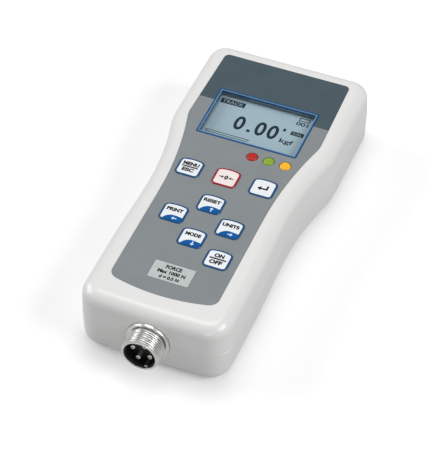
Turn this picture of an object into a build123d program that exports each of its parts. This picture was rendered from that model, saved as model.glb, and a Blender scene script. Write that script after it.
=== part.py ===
from build123d import *
from math import atan, cos, degrees, radians, sin, tan
import os

os.makedirs("parts", exist_ok=True)

# A hand-held force gauge with a separate sensor: millimetres, +Z up, resting on its four rubber feet.
# X is the width, +Y points to the display end, and the sensor connector stands out of the -Y end.
# The origin is under the middle of the whole length, on the plane that the feet stand on.

# Casing: a head, a neck that narrows to the waist, a swell to the hand part, and the front end
CASE_HEIGHT = 29.0
LOWER_HEIGHT = 14.5
HEAD_WIDTH = 74.6
WAIST_WIDTH = 63.0
HAND_WIDTH = 64.8
NECK_START = 46.6
NECK_LENGTH = 44.0
NECK_RADIUS = 30.0
HAND_LENGTH = 37.0
FRONT_LENGTH = 35.4
BACK_CORNER = 8.5
FRONT_CORNER = 9.5
FRONT_BOW = 3.0
DRAFT = 2.0
TOP_ROUND = 5.5
BOTTOM_ROUND = 3.0
WALL = 2.2
INNER_ROUND = 2.4
PARTING_EDGE = 0.15
LIP_WIDTH = 0.9
LIP_HEIGHT = 1.2
LIP_GAP = 0.1

# Printed front panel, let into the top face
PANEL_THICKNESS = 0.8
PANEL_GAP = 0.1
PANEL_TOP_MARGIN = 7.5
PANEL_FRONT_MARGIN = 11.8
PANEL_SIDE_MARGIN = 7.2
PANEL_WAIST_MARGIN = 8.2
PANEL_TOP_TAPER = 1.0
PANEL_NECK_LENGTH = 50.5
PANEL_NECK_RADIUS = 15.0
PANEL_BACK_CORNER = 2.2
PANEL_FRONT_CORNER = 4.5
PANEL_BOW = 14.0

# Display
DISPLAY_MARGIN = 43.5
FRAME_WIDTH = 45.5
FRAME_HEIGHT = 29.0
FRAME_LINE = 1.1
FRAME_CORNER = 0.8
FRAME_PROUD = 0.1
FRAME_GAP = 0.1
WINDOW_WIDTH = 48.0
WINDOW_HEIGHT = 31.5
WINDOW_THICKNESS = 0.8
WINDOW_GAP = 0.2
GLASS_THICKNESS = 2.0
BACKLIGHT_THICKNESS = 2.6
MODULE_GAP = 0.2
MODULE_RIM = 1.2

# Keys and lamps
KEY_WIDTH = 10.7
KEY_HEIGHT = 10.3
KEY_ARCH = 0.9
KEY_CORNER = 2.0
KEY_PROUD = 0.25
KEY_EDGE = 0.2
KEY_GAP = 0.12
KEY_TRAVEL = 0.5
KEY_FLANGE = 0.7
KEY_FLANGE_THICKNESS = 0.8
KEY_SEAT_GAP = 0.05
KEY_ROW_DROP = 36.1
KEY_PITCH = 16.5
ARROW_OFFSET = 27.05
ARROW_SIDE = 12.4
ARROW_RISE = 10.35
POWER_X = 14.3
POWER_OFFSET = 44.8
LAMP_RADIUS = 2.5
LAMP_PROUD = 0.45
LAMP_GAP = 0.1
LAMP_FIRST_X = 5.4
LAMP_PITCH = 7.45
LAMP_OFFSET = 15.75
LAMP_ROUND = 1.2
LAMP_FLANGE = 0.45
LAMP_FLANGE_THICKNESS = 1.0
LEAD_SIZE = 0.5
LEAD_SPACING = 2.54

# Small plate under the keys
LABEL_WIDTH = 17.6
LABEL_HEIGHT = 9.5
LABEL_THICKNESS = 0.2
LABEL_OFFSET = 58.8

# Circuit board and what it carries
BOARD_THICKNESS = 1.6
BOARD_EDGE_GAP = 1.3
BOARD_FRONT = 15.0
BOARD_BACK = 16.0
SWITCH_SIZE = 6.0
SWITCH_CAP_RADIUS = 1.7
SWITCH_CAP_HEIGHT = 0.9
SWITCH_CLEARANCE = 0.1
CHIP_SIZE = 12.0
CHIP_THICKNESS = 1.4
SHIELD_WIDTH = 22.0
SHIELD_LENGTH = 16.0
SHIELD_HEIGHT = 2.6
CHIP_DROP = 30.0
CHIP_SPACING = 17.0
SHIELD_INSET = 27.4
BOARD_SCREW_RADIUS = 1.25
BOARD_SCREW_LENGTH = 5.8
BOARD_HEAD_RADIUS = 2.3
BOARD_HEAD_HEIGHT = 1.3
BOARD_BOSS_RADIUS = 2.8
BACK_SCREW_EDGE = 6.5
BACK_SCREW_INSET = 24.0
WAIST_SCREW_EDGE = 6.9
WAIST_SCREW_DROP = 15.4
FRONT_SCREW_EDGE = 11.4
FRONT_SCREW_INSET = 21.0

# Casing screws, each hidden by a foot
CASE_SCREW_RADIUS = 1.5
CASE_SCREW_LENGTH = 15.0
CASE_HEAD_RADIUS = 2.8
CASE_HEAD_HEIGHT = 2.2
CASE_BOSS_RADIUS = 4.3
SCREW_GAP = 0.1
SCREW_END_GAP = 0.5
SEAT_DEPTH = 7.0
FOOT_RADIUS = 4.0
FOOT_RECESS = 0.8
FOOT_GAP = 0.15
FOOT_EDGE = 0.3
FOOT_REACH = 1.0
BACK_FOOT_EDGE = 9.0
BACK_FOOT_INSET = 9.5
FRONT_FOOT_EDGE = 8.9
FRONT_FOOT_INSET = 10.0

# Battery bay
CELL_RADIUS = 7.2
CELL_LENGTH = 49.5
CELL_CAP_RADIUS = 2.7
CELL_CAP_LENGTH = 1.0
CELL_COUNT = 4
CELL_GAP = 0.3
BAY_SHIFT = 1.5
CONTACT_THICKNESS = 0.5
CONTACT_SIZE = 9.0
BAY_WALL = 1.2
BAY_ROOF = 1.0
COVER_THICKNESS = 1.6
COVER_LEDGE = 1.0
COVER_GAP = 0.2
COVER_CORNER = 2.0
TAB_WIDTH = 13.0
TAB_LENGTH = 7.5
COVER_SCREW_RADIUS = 1.25
COVER_SCREW_LENGTH = 7.0
COVER_HEAD_RADIUS = 2.4
COVER_HEAD_HEIGHT = 1.2
COVER_BOSS_RADIUS = 3.2

# Sensor connector: an M16 x 1 threaded shell with four contact pins
CONNECTOR_REACH = 9.0
THREAD_RADIUS = 8.0
SHELL_BORE = 6.9
SHELL_CHAMFER = 0.45
FLANGE_RADIUS = 9.4
FLANGE_THICKNESS = 1.5
NECK_GROOVE = 0.8
NECK_DEPTH = 0.7
SPOT_DEPTH = 0.5
SPOT_GAP = 0.3
SEAT_WALL = 2.5
SEAT_RADIUS = 10.2
HOLE_GAP = 0.1
WELL_DEPTH = 5.0
LINING = 0.5
LINING_SETBACK = 0.7
INSULATOR_LENGTH = 12.0
PIN_RADIUS = 1.0
PIN_RING_RADIUS = 4.0
PIN_SETBACK = 2.0
PIN_TAIL = 3.5
PIN_EDGE = 0.25
CONNECTOR_TURN = 23.0
KEYWAY_WIDTH = 1.4
KEYWAY_RISE = 1.0
FIT_GAP = 0.03
WASHER_RADIUS = 9.8
WASHER_THICKNESS = 0.8
NUT_FLATS = 19.0
NUT_THICKNESS = 2.6
THREAD_TAIL = 2.0

# Heights and places that follow from the sizes above
CASE_LENGTH = NECK_START + NECK_LENGTH + HAND_LENGTH + FRONT_LENGTH
CASE_BACK_Y = (CASE_LENGTH + CONNECTOR_REACH) / 2
CASE_FRONT_Y = CASE_BACK_Y - CASE_LENGTH
CASE_BOTTOM_Z = FOOT_REACH
TOP_Z = CASE_BOTTOM_Z + CASE_HEIGHT
PARTING_Z = CASE_BOTTOM_Z + LOWER_HEIGHT
CEILING_Z = TOP_Z - PANEL_THICKNESS - WALL
RECESS_Z = TOP_Z - PANEL_THICKNESS
FLOOR_Z = CASE_BOTTOM_Z + WALL
DISPLAY_Y = CASE_BACK_Y - DISPLAY_MARGIN
KEY_ROW_Y = DISPLAY_Y - KEY_ROW_DROP
GLASS_Z = CEILING_Z - GLASS_THICKNESS
BOARD_TOP_Z = GLASS_Z - BACKLIGHT_THICKNESS
BOARD_Z = BOARD_TOP_Z - BOARD_THICKNESS
CASE_SEAT_Z = CASE_BOTTOM_Z + SEAT_DEPTH
CASE_SCREW_END_Z = CASE_SEAT_Z + CASE_SCREW_LENGTH
KEY_FLANGE_Z = CEILING_Z - KEY_SEAT_GAP - KEY_FLANGE_THICKNESS
SWITCH_TOP_Z = KEY_FLANGE_Z - KEY_TRAVEL - SWITCH_CLEARANCE
COVER_TOP_Z = CASE_BOTTOM_Z + COVER_THICKNESS
CELL_Z = COVER_TOP_Z + CELL_GAP + CELL_RADIUS
BAY_TOP_Z = CELL_Z + CELL_RADIUS + CELL_GAP
BAY_WIDTH = CELL_LENGTH + CELL_CAP_LENGTH + 2 * CONTACT_THICKNESS
CELL_PITCH = 2 * CELL_RADIUS + CELL_GAP
BAY_LENGTH = CELL_COUNT * CELL_PITCH + CELL_GAP
BAY_Y = DISPLAY_Y - BAY_SHIFT
CONNECTOR_Z = PARTING_Z
SEAT_Y = CASE_FRONT_Y + SPOT_DEPTH
INNER_SEAT_Y = SEAT_Y + SEAT_WALL
INNER_SEAT_REACH = INNER_SEAT_Y - CASE_FRONT_Y
RIM_Y = CASE_FRONT_Y - CONNECTOR_REACH
WELL_Y = RIM_Y + WELL_DEPTH
FLANGE_FRONT_Y = SEAT_Y - FLANGE_THICKNESS
WASHER_END_Y = INNER_SEAT_Y + WASHER_THICKNESS
NUT_END_Y = WASHER_END_Y + NUT_THICKNESS
SHELL_END_Y = NUT_END_Y + THREAD_TAIL
INSULATOR_END_Y = WELL_Y + INSULATOR_LENGTH
INSULATOR_RADIUS = SHELL_BORE - FIT_GAP
CONNECTOR_PLANE = Plane(origin=(0, 0, CONNECTOR_Z), x_dir=(1, 0, 0), z_dir=(0, -1, 0))
KEY_PLANE = Plane(
    origin=(0, 0, CONNECTOR_Z),
    x_dir=(cos(radians(CONNECTOR_TURN)), 0, sin(radians(CONNECTOR_TURN))),
    z_dir=(0, -1, 0),
)
CONNECTOR_SECTION = Plane(origin=(0, 0, CONNECTOR_Z), x_dir=(0, 1, 0), z_dir=(1, 0, 0))
CONNECTOR_AXIS = Axis((0, 0, CONNECTOR_Z), (0, 1, 0))

KEY_PLACES = {
    "key_menu": (-KEY_PITCH, KEY_ROW_Y),
    "key_zero": (0, KEY_ROW_Y),
    "key_enter": (KEY_PITCH, KEY_ROW_Y),
    "key_reset": (0, KEY_ROW_Y - ARROW_OFFSET + ARROW_RISE),
    "key_print": (-ARROW_SIDE, KEY_ROW_Y - ARROW_OFFSET),
    "key_units": (ARROW_SIDE, KEY_ROW_Y - ARROW_OFFSET),
    "key_mode": (0, KEY_ROW_Y - ARROW_OFFSET - ARROW_RISE),
    "key_power": (POWER_X, KEY_ROW_Y - POWER_OFFSET),
}
LAMP_PLACES = {
    "lamp_red": (LAMP_FIRST_X, KEY_ROW_Y + LAMP_OFFSET),
    "lamp_green": (LAMP_FIRST_X + LAMP_PITCH, KEY_ROW_Y + LAMP_OFFSET),
    "lamp_amber": (LAMP_FIRST_X + 2 * LAMP_PITCH, KEY_ROW_Y + LAMP_OFFSET),
}
FOOT_PLACES = [
    (side * x, y)
    for x, y in (
        (HEAD_WIDTH / 2 - BACK_FOOT_EDGE, CASE_BACK_Y - BACK_FOOT_INSET),
        (HAND_WIDTH / 2 - FRONT_FOOT_EDGE, CASE_FRONT_Y + FRONT_FOOT_INSET),
    )
    for side in (-1, 1)
]
BOARD_SCREW_PLACES = [
    (side * x, y)
    for x, y in (
        (HEAD_WIDTH / 2 - BACK_SCREW_EDGE, CASE_BACK_Y - BACK_SCREW_INSET),
        (WAIST_WIDTH / 2 - WAIST_SCREW_EDGE, KEY_ROW_Y - WAIST_SCREW_DROP),
        (HAND_WIDTH / 2 - FRONT_SCREW_EDGE, CASE_FRONT_Y + FRONT_SCREW_INSET),
    )
    for side in (-1, 1)
]
COVER_SCREW_PLACES = [
    (0, BAY_Y + side * (BAY_LENGTH / 2 + COVER_LEDGE + TAB_LENGTH / 2)) for side in (-1, 1)
]


def flank_arcs(start, drop, length, first_radius, inset):
    """Two tangent arcs that move the left flank inwards by drop while it runs forwards by length.

    The second arc's radius follows from the first one's. An inset outline keeps both arcs' centres.
    """
    turn = 2 * atan(drop / length)
    bend = inset if drop > 0 else -inset
    second_radius = length / sin(abs(turn)) - first_radius + bend
    first = JernArc(
        start=start, tangent=(0, -1), radius=first_radius - bend, arc_size=degrees(turn)
    )
    return JernArc(
        start=first @ 1, tangent=first % 1, radius=second_radius, arc_size=-degrees(turn)
    )


def front_end(start, corner, bow, front_y):
    """A rounded corner and half of a gently bowed end, which is square to the middle line at X 0."""
    lean = radians(bow)
    bow_radius = (-start.X - corner * (1 - sin(lean))) / sin(lean)
    corner_y = front_y + corner * cos(lean) + bow_radius * (1 - cos(lean))
    side = Line(start, (start.X, corner_y))
    turn = JernArc(start=side @ 1, tangent=(0, -1), radius=corner, arc_size=90 - bow)
    JernArc(start=turn @ 1, tangent=turn % 1, radius=bow_radius, arc_size=bow)


def case_outline(inset=0.0):
    """The casing's plan at the parting line, moved inwards all round by the inset."""
    back_y = CASE_BACK_Y - inset
    head_x = inset - HEAD_WIDTH / 2
    swell = (HAND_WIDTH - WAIST_WIDTH) / 2
    even_radius = (HAND_LENGTH**2 + swell**2) / (4 * abs(swell))
    with BuildSketch(mode=Mode.PRIVATE) as plan:
        with BuildLine():
            edge = Line((0, back_y), (BACK_CORNER - HEAD_WIDTH / 2, back_y))
            JernArc(start=edge @ 1, tangent=(-1, 0), radius=BACK_CORNER - inset, arc_size=90)
            side = Line((head_x, CASE_BACK_Y - BACK_CORNER), (head_x, CASE_BACK_Y - NECK_START))
            neck = flank_arcs(
                side @ 1, (HEAD_WIDTH - WAIST_WIDTH) / 2, NECK_LENGTH, NECK_RADIUS, inset
            )
            hand = flank_arcs(neck @ 1, -swell, HAND_LENGTH, even_radius, inset)
            front_end(hand @ 1, FRONT_CORNER - inset, FRONT_BOW, CASE_FRONT_Y + inset)
            mirror(about=Plane.YZ)
        make_face()
    return plan.sketch


def drafted_outline(inset, height):
    """The casing's plan at a height above or below the parting line, where the draft has narrowed it."""
    return case_outline(inset + height * tan(radians(DRAFT)))


def panel_outline(inset=0.0):
    """The front panel's plan, which follows the casing at a nearly even margin."""
    top_y = CASE_BACK_Y - PANEL_TOP_MARGIN
    front_y = CASE_FRONT_Y + PANEL_FRONT_MARGIN
    half_head = HEAD_WIDTH / 2 - PANEL_SIDE_MARGIN
    half_waist = WAIST_WIDTH / 2 - PANEL_WAIST_MARGIN
    corner_x = PANEL_TOP_TAPER + PANEL_BACK_CORNER - half_head
    with BuildSketch(mode=Mode.PRIVATE) as plan:
        with BuildLine():
            edge = Line((0, top_y - inset), (corner_x, top_y - inset))
            corner = JernArc(
                start=edge @ 1, tangent=(-1, 0), radius=PANEL_BACK_CORNER - inset, arc_size=90
            )
            side = Line(corner @ 1, (inset - half_head, CASE_BACK_Y - NECK_START))
            neck = flank_arcs(
                side @ 1, half_head - half_waist, PANEL_NECK_LENGTH, PANEL_NECK_RADIUS, inset
            )
            front_end(neck @ 1, PANEL_FRONT_CORNER - inset, PANEL_BOW, front_y + inset)
            mirror(about=Plane.YZ)
        make_face()
    return plan.sketch


def key_outline(grow=0.0):
    """One key's plan, with an arched far edge, grown all round by the given amount."""
    half = KEY_WIDTH / 2
    low = -KEY_HEIGHT / 2
    shoulder = KEY_HEIGHT / 2 - KEY_ARCH
    with BuildSketch(mode=Mode.PRIVATE) as plan:
        with BuildLine():
            Polyline((-half, shoulder), (-half, low), (half, low), (half, shoulder))
            ThreePointArc((half, shoulder), (0, KEY_HEIGHT / 2), (-half, shoulder))
        make_face()
        fillet(plan.vertices(), KEY_CORNER)
        if grow:
            offset(amount=grow)
    return plan.sketch


def cover_outline(grow=0.0):
    """The battery cover's plan: a rectangle with a screw tab at each end, grown all round."""
    width = BAY_WIDTH + 2 * COVER_LEDGE
    length = BAY_LENGTH + 2 * COVER_LEDGE
    with BuildSketch(mode=Mode.PRIVATE) as plan:
        with Locations((0, BAY_Y)):
            RectangleRounded(width, length, COVER_CORNER)
            RectangleRounded(TAB_WIDTH, length + 2 * TAB_LENGTH, COVER_CORNER)
        if grow:
            offset(amount=grow)
    return plan.sketch


def finish(builder, name):
    """Label one finished piece and write it to its own file."""
    builder.part.label = name
    export_step(builder.part, "parts/" + name + ".step")


# Cavities of the two shells
with BuildPart() as upper_cavity:
    with BuildSketch(Plane.XY.offset(PARTING_Z)):
        add(case_outline(WALL))
    with BuildSketch(Plane.XY.offset(CEILING_Z)):
        add(drafted_outline(WALL, CEILING_Z - PARTING_Z))
    loft(ruled=True)
    fillet(upper_cavity.faces().sort_by(Axis.Z)[-1].edges(), INNER_ROUND)

with BuildPart() as lower_cavity:
    with BuildSketch(Plane.XY.offset(PARTING_Z)):
        add(case_outline(WALL))
    with BuildSketch(Plane.XY.offset(FLOOR_Z)):
        add(drafted_outline(WALL, PARTING_Z - FLOOR_Z))
    loft(ruled=True)

# Upper casing
with BuildPart() as upper_casing:
    with BuildSketch(Plane.XY.offset(PARTING_Z)):
        add(case_outline())
    with BuildSketch(Plane.XY.offset(TOP_Z)):
        add(drafted_outline(0, TOP_Z - PARTING_Z))
    loft(ruled=True)
    fillet(upper_casing.faces().sort_by(Axis.Z)[-1].edges(), TOP_ROUND)
    chamfer(upper_casing.faces().sort_by(Axis.Z)[0].edges(), PARTING_EDGE)
    add(upper_cavity.part, mode=Mode.SUBTRACT)
    with BuildSketch(Plane.XY.offset(PARTING_Z)):
        add(case_outline(WALL - LIP_WIDTH - LIP_GAP))
    extrude(amount=LIP_HEIGHT + LIP_GAP, mode=Mode.SUBTRACT)
    with BuildSketch(Plane.XY.offset(CEILING_Z)):
        with Locations(*BOARD_SCREW_PLACES):
            Circle(BOARD_BOSS_RADIUS)
    extrude(amount=BOARD_TOP_Z - CEILING_Z)
    with BuildSketch(Plane.XY.offset(CEILING_Z)):
        with Locations(*FOOT_PLACES):
            Circle(CASE_BOSS_RADIUS)
    extrude(amount=PARTING_Z - CEILING_Z)
    with BuildSketch(Plane.XY.offset(BOARD_TOP_Z)):
        with Locations(*BOARD_SCREW_PLACES):
            Circle(BOARD_SCREW_RADIUS + SCREW_GAP)
    extrude(amount=CEILING_Z - BOARD_TOP_Z, mode=Mode.SUBTRACT)
    with BuildSketch(Plane.XY.offset(PARTING_Z)):
        with Locations(*FOOT_PLACES):
            Circle(CASE_SCREW_RADIUS + SCREW_GAP)
    extrude(amount=CASE_SCREW_END_Z + SCREW_END_GAP - PARTING_Z, mode=Mode.SUBTRACT)
    with BuildSketch(CONNECTOR_PLANE.offset(-INNER_SEAT_Y)):
        Circle(SEAT_RADIUS)
    extrude(amount=SEAT_WALL)
    split(bisect_by=Plane.XY.offset(PARTING_Z), keep=Keep.TOP)
    with BuildSketch(CONNECTOR_PLANE.offset(-INNER_SEAT_Y)):
        Circle(THREAD_RADIUS + HOLE_GAP)
    extrude(amount=CONNECTOR_REACH, mode=Mode.SUBTRACT)
    with BuildSketch(CONNECTOR_PLANE.offset(-SEAT_Y)):
        Circle(FLANGE_RADIUS + SPOT_GAP)
    extrude(amount=CONNECTOR_REACH, mode=Mode.SUBTRACT)
    with BuildSketch(Plane.XY.offset(TOP_Z)):
        add(panel_outline())
    extrude(amount=-PANEL_THICKNESS, mode=Mode.SUBTRACT)
    with BuildSketch(Plane.XY.offset(TOP_Z)):
        with Locations((0, DISPLAY_Y)):
            Rectangle(FRAME_WIDTH - 2 * FRAME_LINE, FRAME_HEIGHT - 2 * FRAME_LINE)
        with Locations(*KEY_PLACES.values()):
            add(key_outline(KEY_GAP))
        with Locations(*LAMP_PLACES.values()):
            Circle(LAMP_RADIUS + LAMP_GAP)
    extrude(amount=CEILING_Z - TOP_Z, mode=Mode.SUBTRACT)
    with BuildSketch(Plane.XY.offset(CEILING_Z)):
        with Locations((0, DISPLAY_Y)):
            Rectangle(WINDOW_WIDTH + 2 * WINDOW_GAP, WINDOW_HEIGHT + 2 * WINDOW_GAP)
    extrude(amount=WINDOW_THICKNESS, mode=Mode.SUBTRACT)
finish(upper_casing, "upper_casing")

# Lower casing, with the battery bay and the posts for the casing screws
with BuildPart() as lower_casing:
    with BuildSketch(Plane.XY.offset(PARTING_Z)):
        add(case_outline())
    with BuildSketch(Plane.XY.offset(CASE_BOTTOM_Z)):
        add(drafted_outline(0, PARTING_Z - CASE_BOTTOM_Z))
    loft(ruled=True)
    fillet(lower_casing.faces().sort_by(Axis.Z)[0].edges(), BOTTOM_ROUND)
    chamfer(lower_casing.faces().sort_by(Axis.Z)[-1].edges(), PARTING_EDGE)
    add(lower_cavity.part, mode=Mode.SUBTRACT)
    with BuildSketch(Plane.XY.offset(PARTING_Z)):
        add(case_outline(WALL - LIP_WIDTH))
        add(case_outline(WALL), mode=Mode.SUBTRACT)
        with Locations((0, CASE_FRONT_Y)):
            Rectangle(2 * (SEAT_RADIUS + LIP_GAP), 2 * INNER_SEAT_REACH, mode=Mode.SUBTRACT)
    extrude(amount=LIP_HEIGHT)
    with BuildSketch(Plane.XY.offset(COVER_TOP_Z)):
        add(cover_outline(COVER_GAP + BAY_WALL))
    extrude(amount=BAY_WALL)
    with BuildSketch(Plane.XY.offset(COVER_TOP_Z)):
        with Locations((0, BAY_Y)):
            Rectangle(BAY_WIDTH + 2 * BAY_WALL, BAY_LENGTH + 2 * BAY_WALL)
    extrude(amount=BAY_TOP_Z + BAY_ROOF - COVER_TOP_Z)
    with BuildSketch(Plane.XY.offset(COVER_TOP_Z)):
        with Locations(*COVER_SCREW_PLACES):
            Circle(COVER_BOSS_RADIUS)
    extrude(amount=COVER_SCREW_LENGTH)
    with BuildSketch(Plane.XY.offset(FLOOR_Z)):
        with Locations(*FOOT_PLACES):
            Circle(CASE_BOSS_RADIUS)
    extrude(amount=PARTING_Z - FLOOR_Z)
    with BuildSketch(CONNECTOR_PLANE.offset(-INNER_SEAT_Y)):
        Circle(SEAT_RADIUS)
        Rectangle(2 * SEAT_RADIUS, SEAT_RADIUS, align=(Align.CENTER, Align.MIN), mode=Mode.SUBTRACT)
    extrude(amount=SEAT_WALL)
    with BuildSketch(CONNECTOR_PLANE.offset(-INNER_SEAT_Y)):
        Circle(THREAD_RADIUS + HOLE_GAP)
    extrude(amount=CONNECTOR_REACH, mode=Mode.SUBTRACT)
    with BuildSketch(CONNECTOR_PLANE.offset(-SEAT_Y)):
        Circle(FLANGE_RADIUS + SPOT_GAP)
    extrude(amount=CONNECTOR_REACH, mode=Mode.SUBTRACT)
    with BuildSketch(Plane.XY.offset(COVER_TOP_Z)):
        with Locations((0, BAY_Y)):
            Rectangle(BAY_WIDTH, BAY_LENGTH)
    extrude(amount=BAY_TOP_Z - COVER_TOP_Z, mode=Mode.SUBTRACT)
    with BuildSketch(Plane.XY.offset(CASE_BOTTOM_Z)):
        add(cover_outline(COVER_GAP))
    extrude(amount=COVER_THICKNESS, mode=Mode.SUBTRACT)
    with BuildSketch(Plane.XY.offset(CASE_BOTTOM_Z)):
        with Locations(*COVER_SCREW_PLACES):
            Circle(COVER_SCREW_RADIUS + SCREW_GAP)
    extrude(amount=COVER_SCREW_LENGTH + SCREW_END_GAP, mode=Mode.SUBTRACT)
    with BuildSketch(Plane.XY.offset(CASE_BOTTOM_Z)):
        with Locations(*FOOT_PLACES):
            Circle(FOOT_RADIUS + FOOT_GAP)
    extrude(amount=FOOT_RECESS, mode=Mode.SUBTRACT)
    with BuildSketch(Plane.XY.offset(CASE_BOTTOM_Z)):
        with Locations(*FOOT_PLACES):
            Circle(CASE_HEAD_RADIUS + SCREW_GAP)
    extrude(amount=SEAT_DEPTH, mode=Mode.SUBTRACT)
    with BuildSketch(Plane.XY.offset(CASE_SEAT_Z)):
        with Locations(*FOOT_PLACES):
            Circle(CASE_SCREW_RADIUS + SCREW_GAP)
    extrude(amount=PARTING_Z - CASE_SEAT_Z, mode=Mode.SUBTRACT)
finish(lower_casing, "lower_casing")

# Front panel
with BuildPart() as front_panel:
    with BuildSketch(Plane.XY.offset(RECESS_Z)):
        add(panel_outline(PANEL_GAP))
        with Locations((0, DISPLAY_Y)):
            RectangleRounded(
                FRAME_WIDTH + 2 * FRAME_GAP,
                FRAME_HEIGHT + 2 * FRAME_GAP,
                FRAME_CORNER,
                mode=Mode.SUBTRACT,
            )
        with Locations(*KEY_PLACES.values()):
            add(key_outline(KEY_GAP), mode=Mode.SUBTRACT)
        with Locations(*LAMP_PLACES.values()):
            Circle(LAMP_RADIUS + LAMP_GAP, mode=Mode.SUBTRACT)
    extrude(amount=PANEL_THICKNESS)
finish(front_panel, "front_panel")

# Plate under the keys
with BuildPart() as range_plate:
    with BuildSketch(Plane.XY.offset(TOP_Z)):
        with Locations((0, KEY_ROW_Y - LABEL_OFFSET)):
            Rectangle(LABEL_WIDTH, LABEL_HEIGHT)
    extrude(amount=LABEL_THICKNESS)
finish(range_plate, "range_plate")

# Display: frame, window, glass, backlight and the holder round them
with BuildPart() as display_frame:
    with BuildSketch(Plane.XY.offset(RECESS_Z)):
        with Locations((0, DISPLAY_Y)):
            RectangleRounded(FRAME_WIDTH, FRAME_HEIGHT, FRAME_CORNER)
            Rectangle(FRAME_WIDTH - 2 * FRAME_LINE, FRAME_HEIGHT - 2 * FRAME_LINE, mode=Mode.SUBTRACT)
    extrude(amount=PANEL_THICKNESS + FRAME_PROUD)
finish(display_frame, "display_frame")

for name, base_z, thickness in (
    ("display_window", CEILING_Z, WINDOW_THICKNESS),
    ("lcd_glass", GLASS_Z, GLASS_THICKNESS),
    ("lcd_backlight", BOARD_TOP_Z, BACKLIGHT_THICKNESS),
):
    with BuildPart() as layer:
        with BuildSketch(Plane.XY.offset(base_z)):
            with Locations((0, DISPLAY_Y)):
                Rectangle(WINDOW_WIDTH, WINDOW_HEIGHT)
        extrude(amount=thickness)
    finish(layer, name)

with BuildPart() as display_holder:
    with BuildSketch(Plane.XY.offset(BOARD_TOP_Z)):
        with Locations((0, DISPLAY_Y)):
            rim = 2 * (MODULE_GAP + MODULE_RIM)
            Rectangle(WINDOW_WIDTH + rim, WINDOW_HEIGHT + rim)
            Rectangle(
                WINDOW_WIDTH + 2 * MODULE_GAP, WINDOW_HEIGHT + 2 * MODULE_GAP, mode=Mode.SUBTRACT
            )
    extrude(amount=CEILING_Z - BOARD_TOP_Z)
finish(display_holder, "display_holder")

# Keys: each cap stands through the panel and is held by its flange under the casing's top wall
for name, place in KEY_PLACES.items():
    with BuildPart() as key:
        with BuildSketch(Plane.XY.offset(KEY_FLANGE_Z)):
            with Locations(place):
                add(key_outline())
        extrude(amount=TOP_Z + KEY_PROUD - KEY_FLANGE_Z)
        chamfer(key.faces().sort_by(Axis.Z)[-1].edges(), KEY_EDGE)
        with BuildSketch(Plane.XY.offset(KEY_FLANGE_Z)):
            with Locations(place):
                add(key_outline(KEY_FLANGE))
        extrude(amount=KEY_FLANGE_THICKNESS)
    finish(key, name)

# Status lamps
for name, place in LAMP_PLACES.items():
    with BuildPart() as lamp:
        with BuildSketch(Plane.XY.offset(CEILING_Z - LAMP_FLANGE_THICKNESS)):
            with Locations(place):
                Circle(LAMP_RADIUS)
        extrude(amount=TOP_Z + LAMP_PROUD - CEILING_Z + LAMP_FLANGE_THICKNESS)
        fillet(lamp.faces().sort_by(Axis.Z)[-1].edges(), LAMP_ROUND)
        with BuildSketch(Plane.XY.offset(CEILING_Z - LAMP_FLANGE_THICKNESS)):
            with Locations(place):
                Circle(LAMP_RADIUS + LAMP_FLANGE)
        extrude(amount=LAMP_FLANGE_THICKNESS)
        with BuildSketch(Plane.XY.offset(BOARD_TOP_Z)):
            with Locations(place):
                with GridLocations(LEAD_SPACING, 0, 2, 1):
                    Rectangle(LEAD_SIZE, LEAD_SIZE)
        extrude(amount=CEILING_Z - LAMP_FLANGE_THICKNESS - BOARD_TOP_Z)
    finish(lamp, name)

# Circuit board
with BuildPart() as main_board:
    with BuildSketch(Plane.XY.offset(BOARD_Z)):
        add(case_outline(WALL + BOARD_EDGE_GAP))
        with Locations((0, (CASE_FRONT_Y + BOARD_FRONT + CASE_BACK_Y - BOARD_BACK) / 2)):
            Rectangle(HEAD_WIDTH, CASE_LENGTH - BOARD_FRONT - BOARD_BACK, mode=Mode.INTERSECT)
        with Locations(*BOARD_SCREW_PLACES):
            Circle(BOARD_SCREW_RADIUS + SCREW_GAP, mode=Mode.SUBTRACT)
    extrude(amount=BOARD_THICKNESS)
finish(main_board, "main_board")

with BuildPart() as key_switches:
    with BuildSketch(Plane.XY.offset(BOARD_TOP_Z)):
        with Locations(*KEY_PLACES.values()):
            Rectangle(SWITCH_SIZE, SWITCH_SIZE)
    extrude(amount=SWITCH_TOP_Z - SWITCH_CAP_HEIGHT - BOARD_TOP_Z)
    with BuildSketch(Plane.XY.offset(SWITCH_TOP_Z - SWITCH_CAP_HEIGHT)):
        with Locations(*KEY_PLACES.values()):
            Circle(SWITCH_CAP_RADIUS)
    extrude(amount=SWITCH_CAP_HEIGHT)
finish(key_switches, "key_switches")

with BuildPart() as control_chips:
    with BuildSketch(Plane.XY.offset(BOARD_Z)):
        with Locations(*[(0, KEY_ROW_Y - CHIP_DROP - n * CHIP_SPACING) for n in range(2)]):
            Rectangle(CHIP_SIZE, CHIP_SIZE)
    extrude(amount=-CHIP_THICKNESS)
finish(control_chips, "control_chips")

with BuildPart() as amplifier_shield:
    with BuildSketch(Plane.XY.offset(BOARD_TOP_Z)):
        with Locations((0, CASE_FRONT_Y + SHIELD_INSET)):
            Rectangle(SHIELD_WIDTH, SHIELD_LENGTH)
    extrude(amount=SHIELD_HEIGHT)
finish(amplifier_shield, "amplifier_shield")

with BuildPart() as board_screws:
    with BuildSketch(Plane.XY.offset(BOARD_Z)):
        with Locations(*BOARD_SCREW_PLACES):
            Circle(BOARD_HEAD_RADIUS)
    extrude(amount=-BOARD_HEAD_HEIGHT)
    with BuildSketch(Plane.XY.offset(BOARD_Z)):
        with Locations(*BOARD_SCREW_PLACES):
            Circle(BOARD_SCREW_RADIUS)
    extrude(amount=BOARD_SCREW_LENGTH)
finish(board_screws, "board_screws")

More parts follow.
